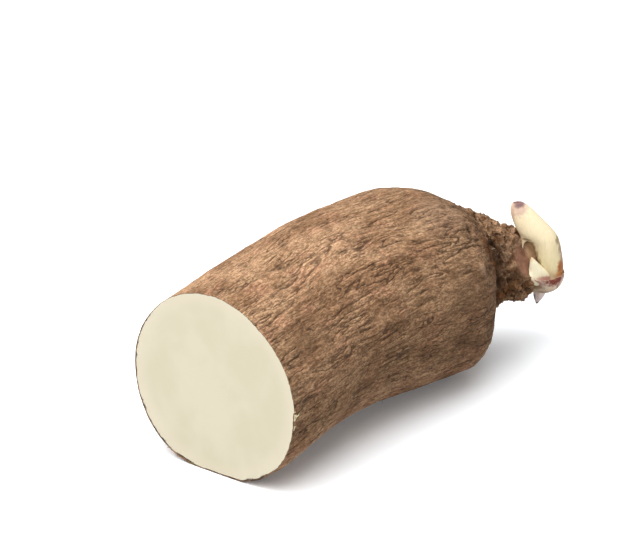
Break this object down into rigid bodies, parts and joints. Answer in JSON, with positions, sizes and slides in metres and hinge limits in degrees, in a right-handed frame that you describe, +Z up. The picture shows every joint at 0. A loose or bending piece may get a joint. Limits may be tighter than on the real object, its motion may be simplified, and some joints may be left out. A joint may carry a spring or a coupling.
{
  "type": "white yam",
  "caption": "Head end of a white yam lying on its side: a thick barked tuber with a flat cut face, a corky crown and a young curved shoot.",
  "frame": {"origin": "under the middle of the whole object, on the surface that it rests on", "axes": "+X along the tuber from the cut face to the crown, +Z up as it lies"},
  "size_m": [0.2486, 0.1182, 0.1063],
  "materials": {
    "bark_and_flesh": "dull corky bark with fine lengthwise wrinkles; the cut face is smooth cream-white flesh",
    "shoot_sheath": "smooth fresh cream-yellow sheath, satin",
    "scale_skin": "smooth pale scale, satin",
    "bud_skin": "dull purple-grey skin"
  },
  "bodies": {
    "root": {"yam_tuber": "bark_and_flesh", "main_shoot": "shoot_sheath", "bud_scale": "scale_skin", "side_bud": "bud_skin"}
  },
  "joints": []
}
